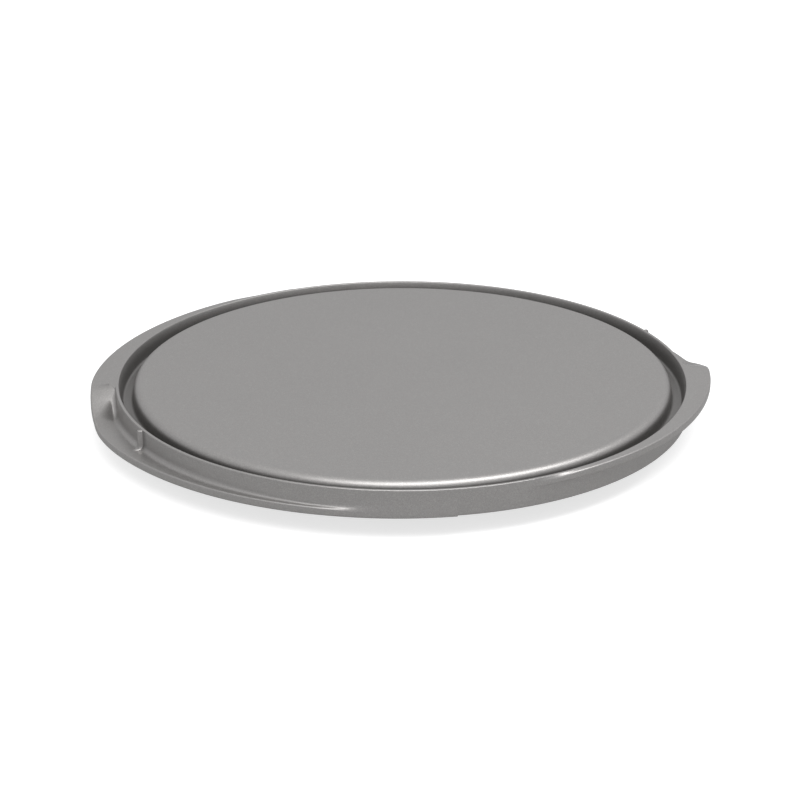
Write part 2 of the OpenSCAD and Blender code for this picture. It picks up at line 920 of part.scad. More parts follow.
// Places its children at each pole of the terminal block.
module poles() {
    for (i = [-1, 0, 1])
        translate([block_x + i * pole_pitch, bay_y, 0])
            children();
}

module pole_screw_places() {
    poles()
        for (y = [block_d * 0.28, block_d * 0.72])
            translate([0, y, pole_z + 1])
                children();
}

module terminal_block() {
    color(ceramic_color)
        difference() {
            translate([block_x - block_w / 2, bay_y, pan_floor_z])
                cube([block_w, block_d, block_h]);
            poles()
                translate([0, 1.5, pole_z])
                    rotate([-90, 0, 0])
                        cylinder(r = 1.7, h = block_d);
            pole_screw_places()
                cylinder(r = 1.5 + fit, h = block_h);
        }
}

module terminal_screws() {
    color(brass_color)
        pole_screw_places()
            translate([0, 0, 1])
                cylinder(r = 1.5, h = pan_floor_z + block_h - pole_z - 2.6);
}

module earth_stud() {
    base_r = 4;
    color(steel_color)
        translate([earth_x, earth_y, pan_floor_z]) {
            cylinder(r = base_r, h = 1);
            cylinder(r = earth_stud_r, h = earth_stud_h);
        }
}

module earth_nut() {
    color(brass_color)
        translate([earth_x, earth_y, pan_floor_z + 3])
            difference() {
                cylinder(r = earth_nut_r, h = foot_nut_h, $fn = 6);
                translate([0, 0, -cut])
                    cylinder(r = earth_stud_r + fit, h = foot_nut_h + 2 * cut);
            }
}

// Leads are listed from one terminal to the other. They lie loose on the pan and reflector.
module live_lead() {
    x = block_x - pole_pitch;
    color([0.55, 0.30, 0.16])
        wire([
            [x, bay_y, pole_z],
            [x, bay_y - 2.5, pole_z],
            [x - 4, fuse_y, pole_z + 0.4],
            [10, fuse_y, pole_z + 1.5],
            [0, fuse_y, fuse_z - 1],
            [fuse_x1 + 6, fuse_y, fuse_z],
            [fuse_x1, fuse_y, fuse_z]
        ], lead_r);
}

// The run over the reflector that two leads share, one on each side of the centre line.
function reflector_run(side) = [
    [side * 38, reflector_back - 4, fuse_z + 3.8],
    [side * 37, reflector_back - 12, tab_z + 1],
    [side * 31, reflector_back - 28, tab_z],
    [side * 24, reflector_back - 50, tab_z],
    [side * 17, 54, tab_z],
    [side * 10, 34, tab_z],
    [side * tab_x, tab_y + 6, tab_z],
    [side * tab_x, tab_y, tab_z]
];

module fuse_lead() {
    color([0.80, 0.78, 0.72])
        wire(concat([
            [fuse_x0, fuse_y, fuse_z],
            [fuse_x0 - 3, fuse_y, fuse_z],
            [-37, fuse_y, fuse_z + 2.5]
        ], reflector_run(-1)), lead_r);
}

module thermostat_lead() {
    run = reflector_run(1);
    end_x = outer_leg_x + lead_end_out;
    color([0.80, 0.78, 0.72])
        wire(concat([for (i = [len(run) - 1 : -1 : 0]) run[i]], [
            [36, fuse_y, fuse_z + 5],
            [end_x + 1, leg_end_y - 1, tube_z - 1],
            [end_x, strap_y - 4, tube_z],
            [end_x, strap_y, tube_z]
        ]), lead_r);
}

module neutral_lead() {
    low_z = pan_floor_z + lead_r + 0.5;
    end_x = outer_leg_x + lead_end_out;
    color([0.20, 0.35, 0.62])
        wire([
            [block_x, bay_y, pole_z],
            [block_x, bay_y - 2.5, pole_z],
            [block_x - 2, bay_y - 3.5, pole_z - 2],
            [block_x - 8, bay_y - 3, low_z],
            [10, bay_y - 3, low_z],
            [-10, bay_y - 3, low_z],
            [-26, bay_y - 2, low_z],
            [-35, bay_y + 2, low_z + 4],
            [-end_x - 2, leg_end_y + 1, tube_z - 6],
            [-end_x, strap_y - 4, tube_z],
            [-end_x, strap_y, tube_z]
        ], lead_r);
}

module earth_lead() {
    x = block_x + pole_pitch;
    end_x = earth_x - earth_nut_r - 0.1;
    color([0.35, 0.55, 0.20])
        wire([
            [x, bay_y, pole_z],
            [x, bay_y - 2.5, pole_z],
            [x + 3.5, bay_y - 4, pole_z],
            [end_x - 4, earth_y, pole_z],
            [end_x, earth_y, pole_z]
        ], lead_r);
}

// ---- Cord entry ----------------------------------------------------------------------------------------

// A moulded bush that snaps into the pan's back wall round the cord.
module cord_bush() {
    collar_r = cord_r + bush_wall;
    barb_r = bush_hole_r + 0.2;
    tail = pan_inset - rest_inset - rest_r - 2.9; // it ends clear of the back rest button
    barb = 4;
    color(rubber_color)
        difference() {
            union() {
                translate([0, pan_r + tail, cord_z])
                    rotate([90, 0, 0])
                        cylinder(r = collar_r, h = tail - fit);
                translate([0, pan_r + cut, cord_z])
                    rotate([90, 0, 0])
                        cylinder(r = bush_neck_r, h = cut + pan_t + barb);
                translate([0, pan_r - pan_t - 0.2, cord_z])
                    rotate([90, 0, 0])
                        cylinder(r = barb_r, h = barb - 0.2);
            }
            translate([0, pan_r + tail + cut, cord_z])
                rotate([90, 0, 0])
                    cylinder(r = cord_r, h = tail + pan_t + barb + 3 * cut);
        }
}

// A bridge screwed to the pan floor that grips the cord inside.
module cord_clamp() {
    color(pan_color)
        difference() {
            translate([-clamp_w / 2, clamp_y, pan_floor_z])
                cube([clamp_w, clamp_d, clamp_top - pan_floor_z]);
            translate([0, clamp_y - cut, cord_z])
                rotate([-90, 0, 0])
                    cylinder(r = cord_r, h = clamp_d + 2 * cut);
            for (side = [-1, 1])
                translate([side * clamp_screw_x, clamp_y + clamp_d / 2, pan_floor_z - cut])
                    cylinder(r = clamp_screw_r + fit, h = clamp_top);
        }
}

module clamp_screws() {
    color(steel_color)
        for (side = [-1, 1])
            translate([side * clamp_screw_x, clamp_y + clamp_d / 2, pan_z]) {
                cylinder(r = clamp_screw_r, h = clamp_top - pan_z + eps);
                translate([0, 0, clamp_top - pan_z])
                    cylinder(r = 2.3, h = 1.5);
            }
}

griddle_plate();
base_pan();
plate_rests();
insulation_mat();
heat_reflector();
reflector_spacers();
reflector_screws();
outer_element();
inner_element();
element_seals();
element_studs();
element_clips();
clip_screws();
live_strap();
neutral_strap();
stud_nuts();
thermostat_body();
thermostat_tabs();
thermostat_bracket();
bracket_screws();
sensor_plunger();
sensor_spring();
thermal_fuse();
terminal_block();
terminal_screws();
earth_stud();
earth_nut();
live_lead();
fuse_lead();
thermostat_lead();
neutral_lead();
earth_lead();
cord_bush();
cord_clamp();
clamp_screws();
feet();
foot_screws();
foot_nuts();
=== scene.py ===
"""Round electric griddle: a cast griddle plate that lifts off a shallow heater base.

The sections follow the object as it is put together, from the feet up. The camera, the floor
and the lights stand at the end. Lengths are in metres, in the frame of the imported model:
+Z up, +X through the two grips, +Y to the back.
"""
import math

import bmesh
import bpy
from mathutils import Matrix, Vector


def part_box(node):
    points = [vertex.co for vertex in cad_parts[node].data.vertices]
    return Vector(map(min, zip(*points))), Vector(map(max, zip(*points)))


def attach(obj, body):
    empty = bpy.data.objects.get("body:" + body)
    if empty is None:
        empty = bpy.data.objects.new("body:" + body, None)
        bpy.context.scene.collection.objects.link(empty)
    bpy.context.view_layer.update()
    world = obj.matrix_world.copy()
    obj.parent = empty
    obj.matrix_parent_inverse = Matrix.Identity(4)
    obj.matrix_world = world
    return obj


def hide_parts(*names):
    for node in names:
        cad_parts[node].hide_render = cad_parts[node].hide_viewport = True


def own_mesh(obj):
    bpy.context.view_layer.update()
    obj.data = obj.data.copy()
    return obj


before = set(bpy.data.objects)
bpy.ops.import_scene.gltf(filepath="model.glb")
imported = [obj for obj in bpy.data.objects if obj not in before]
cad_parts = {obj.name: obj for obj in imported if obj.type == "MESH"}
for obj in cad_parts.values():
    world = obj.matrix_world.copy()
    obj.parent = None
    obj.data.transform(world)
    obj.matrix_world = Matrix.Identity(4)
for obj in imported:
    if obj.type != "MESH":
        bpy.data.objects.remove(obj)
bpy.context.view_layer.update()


# ---- Rubber feet --------------------------------------------------------------------------------
# Four feet of moulded black silicone rubber under the pan. Each is a low round pad with a
# countersunk well for its screw head, rounded rims and two grip rings moulded in its sole.

def effect_group(name, inputs, outputs):
    """An empty shader node group with float or vector inputs and the outputs named."""
    group = bpy.data.node_groups.new(name, "ShaderNodeTree")
    for label, kind, value in inputs:
        socket = group.interface.new_socket(label, in_out="INPUT", socket_type=kind)
        if value is not None:
            socket.default_value = value
    for label, kind in outputs:
        group.interface.new_socket(label, in_out="OUTPUT", socket_type=kind)
    return group, group.nodes.new("NodeGroupInput"), group.nodes.new("NodeGroupOutput")


def maths(tree, operation, a, b=None):
    """A Math node of the tree, fed by sockets or plain numbers."""
    node = tree.nodes.new("ShaderNodeMath")
    node.operation = operation
    for socket, value in zip(node.inputs, (a, b)):
        if isinstance(value, bpy.types.NodeSocket):
            tree.links.new(value, socket)
        elif value is not None:
            socket.default_value = value
    return node.outputs[0]


def noise(tree, place, scale, detail=2.0, rough=0.5):
    """A noise texture's value at a place; the scale may be a socket."""
    node = tree.nodes.new("ShaderNodeTexNoise")
    tree.links.new(place, node.inputs["Vector"])
    if isinstance(scale, bpy.types.NodeSocket):
        tree.links.new(scale, node.inputs["Scale"])
    else:
        node.inputs["Scale"].default_value = scale
    node.inputs["Detail"].default_value = detail
    node.inputs["Roughness"].default_value = rough
    return node.outputs[0]


def grain_effect():
    """Fine grain, scattered flecks and broad clouds, each from 0 to 1. The grain's size is in
    metres, and the stretch draws the grain out along the piece, as rolling or brushing does."""
    group, given, made = effect_group(
        "surface_grain",
        [("Place", "NodeSocketVector", None), ("Grain Size", "NodeSocketFloat", 0.0004),
         ("Cloud Size", "NodeSocketFloat", 0.03), ("Stretch", "NodeSocketVector", (1, 1, 1))],
        [("Grain", "NodeSocketFloat"), ("Flecks", "NodeSocketFloat"),
         ("Clouds", "NodeSocketFloat")])
    drawn = group.nodes.new("ShaderNodeVectorMath")
    drawn.operation = "MULTIPLY"
    group.links.new(given.outputs["Place"], drawn.inputs[0])
    group.links.new(given.outputs["Stretch"], drawn.inputs[1])
    fine = maths(group, "DIVIDE", 1.0, given.outputs["Grain Size"])
    broad = maths(group, "DIVIDE", 1.0, given.outputs["Cloud Size"])
    group.links.new(noise(group, drawn.outputs[0], fine, 3.0, 0.6), made.inputs["Grain"])
    cells = group.nodes.new("ShaderNodeTexVoronoi")
    group.links.new(drawn.outputs[0], cells.inputs["Vector"])
    group.links.new(maths(group, "MULTIPLY", fine, 0.9), cells.inputs["Scale"])
    lone = group.nodes.new("ShaderNodeSeparateColor")
    group.links.new(cells.outputs["Color"], lone.inputs[0])
    bright = maths(group, "POWER", lone.outputs[0], 6.0)
    group.links.new(bright, made.inputs["Flecks"])
    group.links.new(noise(group, given.outputs["Place"], broad, 4.0, 0.55), made.inputs["Clouds"])
    return group


surface_grain = grain_effect()


def finish(name, dark, light, grain=0.0004, cloud=0.03, stretch=(1, 1, 1), rough=(0.4, 0.5),
           bump=0.1, depth=0.00005, metal=0.0, flecks=0.0, clouds=0.5, **shader):
    """A material whose colour runs from dark to light with grain, flecks and clouds, and whose
    roughness and relief follow the same grain. Other names are set on the shader itself."""
    material = bpy.data.materials.new(name)
    material.use_nodes = True
    tree = material.node_tree
    shade = tree.nodes["Principled BSDF"]
    place = tree.nodes.new("ShaderNodeTexCoord").outputs["Object"]
    effect = tree.nodes.new("ShaderNodeGroup")
    effect.node_tree = surface_grain
    tree.links.new(place, effect.inputs["Place"])
    effect.inputs["Grain Size"].default_value = grain
    effect.inputs["Cloud Size"].default_value = cloud
    effect.inputs["Stretch"].default_value = stretch
    even = maths(tree, "MULTIPLY", effect.outputs["Grain"], 1 - clouds)
    mottle = maths(tree, "MULTIPLY", effect.outputs["Clouds"], clouds)
    share = maths(tree, "ADD", even, mottle)
    share = maths(tree, "ADD", share, maths(tree, "MULTIPLY", effect.outputs["Flecks"], flecks))
    least, most = 0.3, 0.7
    ramp = tree.nodes.new("ShaderNodeValToRGB")
    ramp.color_ramp.elements[0].position = least
    ramp.color_ramp.elements[1].position = most
    ramp.color_ramp.elements[0].color = (*dark, 1)
    ramp.color_ramp.elements[1].color = (*light, 1)
    tree.links.new(share, ramp.inputs[0])
    tree.links.new(ramp.outputs["Color"], shade.inputs["Base Color"])
    dull = tree.nodes.new("ShaderNodeMapRange")
    tree.links.new(share, dull.inputs["Value"])
    dull.inputs["From Min"].default_value = least
    dull.inputs["From Max"].default_value = most
    dull.inputs["To Min"].default_value = rough[0]
    dull.inputs["To Max"].default_value = rough[1]
    tree.links.new(dull.outputs[0], shade.inputs["Roughness"])
    relief = tree.nodes.new("ShaderNodeBump")
    relief.inputs["Strength"].default_value = bump
    relief.inputs["Distance"].default_value = depth
    tree.links.new(share, relief.inputs["Height"])
    tree.links.new(relief.outputs["Normal"], shade.inputs["Normal"])
    shade.inputs["Metallic"].default_value = metal
    for label, value in shader.items():
        shade.inputs[label.replace("_", " ")].default_value = value
    return material


def only(*pieces):
    """Selects just these pieces, the first of them active."""
    bpy.ops.object.select_all(action="DESELECT")
    for piece in pieces:
        piece.select_set(True)
    bpy.context.view_layer.objects.active = pieces[0]


def pick(piece, test):
    """In edit mode, selects the faces whose centre and normal pass the test."""
    bpy.ops.mesh.select_all(action="DESELECT")
    bpy.ops.mesh.select_mode(type="FACE")
    shape = bmesh.from_edit_mesh(piece.data)
    for face in shape.faces:
        face.select = test(face.calc_center_median(), face.normal)
    shape.select_flush(True)
    bmesh.update_edit_mesh(piece.data)


def finished(piece, nodes, body, material):
    """Puts a made piece at the origin, gives it its finish, and states what it stands for."""
    only(piece)
    bpy.ops.object.transform_apply(location=True, rotation=True, scale=True)
    piece.data.materials.clear()
    piece.data.materials.append(material)
    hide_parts(*nodes)
    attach(piece, body)
    return piece


def around(piece, places, name):
    """Copies a piece modelled at the first place to the others, and joins them all."""
    first = Vector(places[0])
    copies = [piece]
    for place in places[1:]:
        copy = piece.copy()
        copy.data = piece.data.copy()
        copy.location = Vector(copy.location) + Vector(place) - first
        bpy.context.scene.collection.objects.link(copy)
        copies.append(copy)
    only(*copies)
    bpy.ops.object.join()
    piece.name = name
    return piece


def rounded(piece, width, segments=2, angle=30):
    """Rounds the piece's sharp edges and smooths the faces between them."""
    only(piece)
    soft = piece.modifiers.new("rounding", "BEVEL")
    soft.width = width
    soft.segments = segments
    soft.limit_method = "ANGLE"
    soft.angle_limit = math.radians(angle)
    bpy.ops.object.modifier_apply(modifier=soft.name)
    bpy.ops.object.shade_smooth_by_angle(angle=math.radians(angle + 5))
    flats = piece.modifiers.new("level_flats", "WEIGHTED_NORMAL")
    flats.keep_sharp = True
    flats.weight = 80
    bpy.ops.object.modifier_apply(modifier=flats.name)


rubber = finish("silicone_rubber", (0.012, 0.012, 0.012), (0.030, 0.030, 0.031),
                grain=0.0003, cloud=0.02, rough=(0.62, 0.8), bump=0.25)

foot_r = 0.010
foot_well_r = 0.0046
foot_well_depth = 0.0024
ring_rise = 0.0003
sole_steps = ((0.0018, 0), (0.0004, ring_rise), (0.0006, -ring_rise),
              (0.0009, 0), (0.0004, ring_rise))
sole_width = 0.0041
foot_low, foot_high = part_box("feet")
foot_h = foot_high.z - foot_low.z
foot_off = foot_high.x - foot_r
foot_places = [(x * foot_off, y * foot_off, foot_low.z + foot_h / 2)
               for x, y in ((1, 1), (-1, 1), (-1, -1), (1, -1))]

bpy.ops.object.select_all(action="DESELECT")
bpy.ops.mesh.primitive_cylinder_add(vertices=72, radius=foot_r, depth=foot_h,
                                    location=foot_places[0])
foot = bpy.context.object
bpy.ops.object.mode_set(mode="EDIT")
pick(foot, lambda centre, normal: normal.z < -0.9)
for step_in, rise in sole_steps:
    bpy.ops.mesh.inset(thickness=step_in, depth=0)
    bpy.ops.transform.translate(value=(0, 0, rise))
bpy.ops.mesh.inset(thickness=foot_r - foot_well_r - sole_width, depth=0)
bpy.ops.transform.translate(value=(0, 0, -ring_rise))
bpy.ops.mesh.extrude_region_move(
    TRANSFORM_OT_translate={"value": (0, 0, foot_well_depth)})
bpy.ops.object.mode_set(mode="OBJECT")
rounded(foot, 0.0003, segments=3)
foot = around(foot, foot_places, "rubber_feet")
finished(foot, ["feet"], "base", rubber)


# ---- Foot screws and nuts -----------------------------------------------------------------------
# Zinc-plated M4 screws come up through the feet and the pan floor, and a hexagon nut holds each.
# Turned and rolled parts, so every edge is broken and the plating is slightly uneven.

zinc = finish("zinc_plate", (0.46, 0.47, 0.49), (0.70, 0.71, 0.72), grain=0.0005, cloud=0.004,
              rough=(0.24, 0.4), bump=0.06, metal=1.0, clouds=0.6)
merge_gap = 0.000002


def dressed(node, body, material, width=0.0002, segments=2, curved=False):
    """A finished copy of a CAD node: merged, its flats made whole and its edges broken. A
    curved one, such as a bent wire, is smoothed by subdivision instead."""
    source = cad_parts[node]
    piece = bpy.data.objects.new(node + "_piece", source.data.copy())
    bpy.context.scene.collection.objects.link(piece)
    only(piece)
    bpy.ops.object.mode_set(mode="EDIT")
    bpy.ops.mesh.select_all(action="SELECT")
    bpy.ops.mesh.remove_doubles(threshold=merge_gap)
    if curved:
        bpy.ops.mesh.tris_convert_to_quads()
    else:
        bpy.ops.mesh.dissolve_limited(angle_limit=math.radians(0.5))
    bpy.ops.object.mode_set(mode="OBJECT")
    if curved:
        smooth = piece.modifiers.new("smoothing", "SUBSURF")
        smooth.levels = 1
        smooth.render_levels = 1
        bpy.ops.object.modifier_apply(modifier=smooth.name)
        bpy.ops.object.shade_smooth()
    else:
        rounded(piece, width, segments)
    return finished(piece, [node], body, material)


dressed("foot_screws", "base", zinc, 0.0003)
dressed("foot_nuts", "base", zinc, 0.00025)


# ---- Base pan -----------------------------------------------------------------------------------
# Drawn from 0.8 mm sheet steel: a flat floor, a short wall and an out-turned flange with a
# hemmed edge. It is fired with black enamel, which is glossy, with a faint orange peel.

enamel = finish("black_enamel", (0.010, 0.010, 0.011), (0.020, 0.020, 0.022), grain=0.0011,
                cloud=0.05, rough=(0.16, 0.24), bump=0.12, depth=0.0001, clouds=0.2,
                Coat_Weight=0.6, Coat_Roughness=0.08)
dressed("base_pan", "base", enamel, 0.00015)


# ---- Insulation mat -----------------------------------------------------------------------------
# Needled mineral fibre, cut to the dish's outline. It is off-white and dull, with short fibres
# lying in all directions, and its surface is dimpled by the needles.

felt = finish("mineral_felt", (0.46, 0.44, 0.37), (0.80, 0.78, 0.70), grain=0.0012, cloud=0.012,
              stretch=(1, 0.25, 1), rough=(0.9, 1.0), bump=0.6, depth=0.0004, clouds=0.35,
              Sheen_Weight=0.3)
dressed("insulation_mat", "base", felt, 0.0006)


# ---- Heat reflector -----------------------------------------------------------------------------
# A shallow dish folded from bright rolled aluminium, straight at the back. The rolling lines run
# across it, and four pressed steel spacers and screws hold it over the mat.

bright = finish("rolled_aluminium", (0.66, 0.67, 0.68), (0.84, 0.85, 0.86), grain=0.0003,
                cloud=0.06, stretch=(0.02, 1, 1), rough=(0.26, 0.36), bump=0.02,
                depth=0.00001, metal=1.0, clouds=0.3)
dressed("heat_reflector", "base", bright, 0.0001)
dressed("reflector_spacers", "base", zinc, 0.0002)
dressed("reflector_screws", "base", zinc, 0.0003)


# ---- Heating elements ---------------------------------------------------------------------------
# Two sheathed tubes, each bent to an open ring with two legs to the back. The nickel steel
# sheath is annealed to a dark green-grey, with straw and blue tints where it runs hot.

sheath = finish("annealed_sheath", (0.070, 0.073, 0.065), (0.150, 0.140, 0.118), grain=0.0005,
                cloud=0.018, rough=(0.42, 0.62), bump=0.15, metal=0.7, clouds=0.7)
leg_bend = 0.014
bend_steps = 16
ring_steps = 160


def spin_tube(node, leg_x, name):
    """A tube run along a leg, round a bend, round the ring and back to the other leg."""
    low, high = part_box(node)
    tube_r = (high.z - low.z) / 2
    tube_z = (high.z + low.z) / 2
    ring_r = high.x - tube_r
    end_y = high.y
    bend_x = leg_x + leg_bend
    bend_y = math.sqrt((ring_r + leg_bend) ** 2 - bend_x ** 2)
    opening = math.atan2(bend_y, bend_x)
    bpy.ops.object.select_all(action="DESELECT")
    bpy.ops.mesh.primitive_circle_add(vertices=24, radius=tube_r, fill_type="NOTHING",
                                      location=(leg_x, end_y, tube_z),
                                      rotation=(math.pi / 2, 0, 0))
    piece = bpy.context.object
    piece.name = name
    bpy.ops.object.transform_apply(location=True, rotation=True, scale=True)
    bpy.ops.object.mode_set(mode="EDIT")
    bpy.ops.mesh.select_all(action="SELECT")
    bpy.ops.mesh.extrude_region_move(TRANSFORM_OT_translate={"value": (0, bend_y - end_y, 0)})
    bends = [((bend_x, bend_y), -opening, bend_steps),
             ((0, 0), math.pi + 2 * opening, ring_steps),
             ((-bend_x, bend_y), -opening, bend_steps)]
    for (cx, cy), angle, steps in bends:
        bpy.ops.mesh.spin(steps=steps, dupli=False, angle=angle, center=(cx, cy, tube_z),
                          axis=(0, 0, 1))
    bpy.ops.mesh.extrude_region_move(TRANSFORM_OT_translate={"value": (0, end_y - bend_y, 0)})
    bpy.ops.mesh.select_all(action="SELECT")
    bpy.ops.mesh.remove_doubles(threshold=merge_gap)
    bpy.ops.mesh.select_mode(type="EDGE")
    bpy.ops.mesh.select_non_manifold()
    bpy.ops.mesh.edge_face_add()
    bpy.ops.mesh.select_all(action="SELECT")
    bpy.ops.mesh.normals_make_consistent(inside=False)
    bpy.ops.object.mode_set(mode="OBJECT")
    bpy.ops.object.shade_smooth_by_angle(angle=math.radians(40))
    return finished(piece, [node], "base", sheath)


spin_tube("outer_element", 0.024, "outer_heating_tube")
spin_tube("inner_element", 0.008, "inner_heating_tube")


# ---- Element ends and clips ---------------------------------------------------------------------
# Unglazed steatite beads seal the tube ends round steel terminal studs. Strips of stainless
# spring steel, snapped over the tubes and screwed to the reflector, hold both rings down.

steatite = finish("white_steatite", (0.66, 0.63, 0.56), (0.84, 0.82, 0.77), grain=0.0004,
                  cloud=0.008, rough=(0.55, 0.72), bump=0.2)
spring_steel = finish("spring_strip", (0.40, 0.40, 0.40), (0.58, 0.57, 0.56), grain=0.0004,
                      cloud=0.01, stretch=(1, 0.08, 1), rough=(0.26, 0.4), bump=0.05, metal=1.0)
dressed("element_seals", "base", steatite, 0.0004, 3)
dressed("element_studs", "base", zinc, 0.0002)
dressed("element_clips", "base", spring_steel, 0.00015)
dressed("clip_screws", "base", zinc, 0.0003, 3)
dressed("stud_nuts", "base", zinc, 0.00025)


# ---- Thermostat and its sensor ------------------------------------------------------------------
# A ceramic disc thermostat on a folded steel bracket. Its aluminium sensor stands on a coil
# spring, so it stays pressed against the plate's underside when the plate is on.

brass = finish("pressed_brass", (0.55, 0.38, 0.15), (0.76, 0.58, 0.28), grain=0.0005,
               cloud=0.006, rough=(0.26, 0.42), bump=0.06, metal=1.0, clouds=0.6)
dressed("thermostat_body", "base", steatite, 0.0004, 3)
dressed("thermostat_tabs", "base", brass, 0.0001)
dressed("thermostat_bracket", "base", zinc, 0.00015)
dressed("bracket_screws", "base", zinc, 0.0003, 3)
dressed("sensor_plunger", "sensor", bright, 0.0003, 3)
spring = dressed("sensor_spring", "base", spring_steel, curved=True)
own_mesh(spring)


# ---- Wiring -------------------------------------------------------------------------------------
# Brass straps join the tubes in parallel. The leads run from a ceramic terminal block: the
# hot ones in braided glass sleeves, the others in silicone insulation of the usual colours.

brown = finish("brown_silicone", (0.14, 0.055, 0.025), (0.20, 0.085, 0.04), grain=0.0003,
               cloud=0.01, rough=(0.42, 0.55), bump=0.08)
blue = finish("blue_silicone", (0.03, 0.09, 0.30), (0.05, 0.13, 0.40), grain=0.0003,
              cloud=0.01, rough=(0.42, 0.55), bump=0.08)
glass_braid = finish("glass_braid", (0.50, 0.48, 0.42), (0.80, 0.78, 0.72), grain=0.0007,
                     cloud=0.01, stretch=(0.35, 1, 1), rough=(0.75, 0.9), bump=0.5,
                     depth=0.00015, clouds=0.2)
dressed("live_strap", "base", brass, 0.0001)
dressed("neutral_strap", "base", brass, 0.0001)
dressed("thermal_fuse", "base", brass, 0.0004, 3)
dressed("terminal_block", "base", steatite, 0.0003, 3)
dressed("terminal_screws", "base", brass, 0.0002)
dressed("live_lead", "base", brown, curved=True)
dressed("neutral_lead", "base", blue, curved=True)
dressed("fuse_lead", "base", glass_braid, curved=True)
dressed("thermostat_lead", "base", glass_braid, curved=True)


# ---- Earth lead ---------------------------------------------------------------------------------
# The green and yellow lead goes to a stud welded to the pan, under a brass nut. Its yellow
# stripe winds round the insulation, as on every protective conductor.

stripes = finish("green_yellow_silicone", (0.06, 0.22, 0.05), (0.10, 0.30, 0.07), grain=0.0003,
                 cloud=0.01, rough=(0.42, 0.55), bump=0.08)
stripe_tree = stripes.node_tree
stripe_wave = stripe_tree.nodes.new("ShaderNodeTexWave")
stripe_wave.inputs["Scale"].default_value = 60
stripe_tree.links.new(stripe_tree.nodes["Texture Coordinate"].outputs["Object"],
                      stripe_wave.inputs["Vector"])
stripe_mix = stripe_tree.nodes.new("ShaderNodeMix")
stripe_mix.data_type = "RGBA"
stripe_tree.links.new(maths(stripe_tree, "GREATER_THAN", stripe_wave.outputs["Fac"], 0.6),
                      stripe_mix.inputs["Factor"])
stripe_tree.links.new(stripe_tree.nodes["Color Ramp"].outputs["Color"],
                      stripe_mix.inputs["A"])
stripe_mix.inputs["B"].default_value = (0.72, 0.60, 0.05, 1)
stripe_tree.links.new(stripe_mix.outputs["Result"],
                      stripe_tree.nodes["Principled BSDF"].inputs["Base Color"])
dressed("earth_lead", "base", stripes, curved=True)
dressed("earth_stud", "base", zinc, 0.0002)
dressed("earth_nut", "base", brass, 0.00025)


# ---- Cord entry ---------------------------------------------------------------------------------
# A rubber bush lines the hole in the back wall, and a moulded clamp inside it, held by two
# screws through the pan floor, grips the cord.

clamp_black = finish("moulded_black", (0.022, 0.022, 0.023), (0.042, 0.042, 0.043),
                     grain=0.0005, cloud=0.01, rough=(0.45, 0.6), bump=0.15)
dressed("cord_bush", "base", rubber, 0.0004, 3)
dressed("cord_clamp", "base", clamp_black, 0.0004, 3)
dressed("clamp_screws", "base", zinc, 0.0002)


# ---- Rest buttons -------------------------------------------------------------------------------
# Six silicone rubber buttons pressed into holes in the pan's flange carry the plate. The spigot
# on top of each drops into a pocket in the casting and keeps it central.

dressed("plate_rests", "base", rubber, 0.0004, 3)


# ---- Griddle plate ------------------------------------------------------------------------------
# The real piece is one die casting in aluminium: cooking face, grease groove, rim, skirt and
# two flat grips, each of which twists from the rim's level to the skirt's. It is shot-blasted
# and sprayed with a warm grey metallic non-stick coat. It only rests on the base's buttons.

plate_low, plate_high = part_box("griddle_plate")
skirt_z = plate_low.z
plate_h = plate_high.z - plate_low.z
plate_r = 0.190
face_t = 0.0055
face_round = 0.0055
groove_depth = 0.0113
groove_round = 0.0020
rim_edge = 0.0006
skirt_edge = 0.0010
grip_tip_r = plate_high.x
grip_arc_r = 0.2104
grip_arc_shift = 0.0195
grip_end_x = 0.0066
grip_t = 0.0052
grip_tip_t = 0.0038
grip_swell = 0.150
grip_fade = 0.014
grip_fade_len = 0.032
grip_corner = 0.0030
grip_edge = 0.0010
grip_narrow = 0.0032
fade_drop = 0.0016
ramp_start = 0.022
ramp_end = 0.002
ramp_tip_start = 0.038
ramp_tip_end = 0.029
ramp_soft = 0.25
grip_root = 0.0015
rib_angles = (15.3, 197.8)
rib_half = 0.00125
rib_out = 0.0028
rib_drop = 0.0006
rib_round = 0.0004


def eased(share):
    """A share from 0 to 1, slowed down at both ends."""
    return share * share * (3 - 2 * share)


def arc(cx, cz, r, start, end, steps):
    """Points of an arc in the section plane, angles in degrees."""
    points = []
    for i in range(steps + 1):
        a = math.radians(start + (end - start) * i / steps)
        points.append((cx + r * math.cos(a), cz + r * math.sin(a)))
    return points


def grip_radius(angle):
    """Outline of the grips: where two large arcs cross, with a rounded tip. The end of each
    high half comes clear of the wall at a slant."""
    s, c = abs(math.sin(angle)), math.cos(angle)
    arcs = -grip_arc_shift * s + math.sqrt(grip_arc_r ** 2 - (grip_arc_shift * c) ** 2)
    blend = max(grip_corner - abs(arcs - grip_tip_r), 0) / grip_corner
    edge = min(arcs, grip_tip_r) - blend ** 2 * grip_corner / 4
    if math.sin(angle) * c >= 0:
        return edge
    x0, y0 = grip_fade, math.sqrt(plate_r ** 2 - grip_fade ** 2)
    x1 = grip_fade + grip_fade_len
    y1 = math.sqrt(grip_arc_r ** 2 - x1 ** 2) - grip_arc_shift
    slant = (y0 * (x1 - x0) - x0 * (y1 - y0)) / ((x1 - x0) * s - abs(c) * (y1 - y0))
    if abs(c) * y0 < x0 * s:
        slant = y0 / s
    blend = max(grip_corner - abs(edge - slant), 0) / grip_corner
    return min(edge, slant) - blend ** 2 * grip_corner / 4


def descent(u):
    """Share of the ramp's drop that lies behind a share u of its length."""
    near = min(u, 1 - u)
    part = near ** 2 / (2 * ramp_soft) if near < ramp_soft else near - ramp_soft / 2
    part /= 1 - ramp_soft
    return part if u < 0.5 else 1 - part


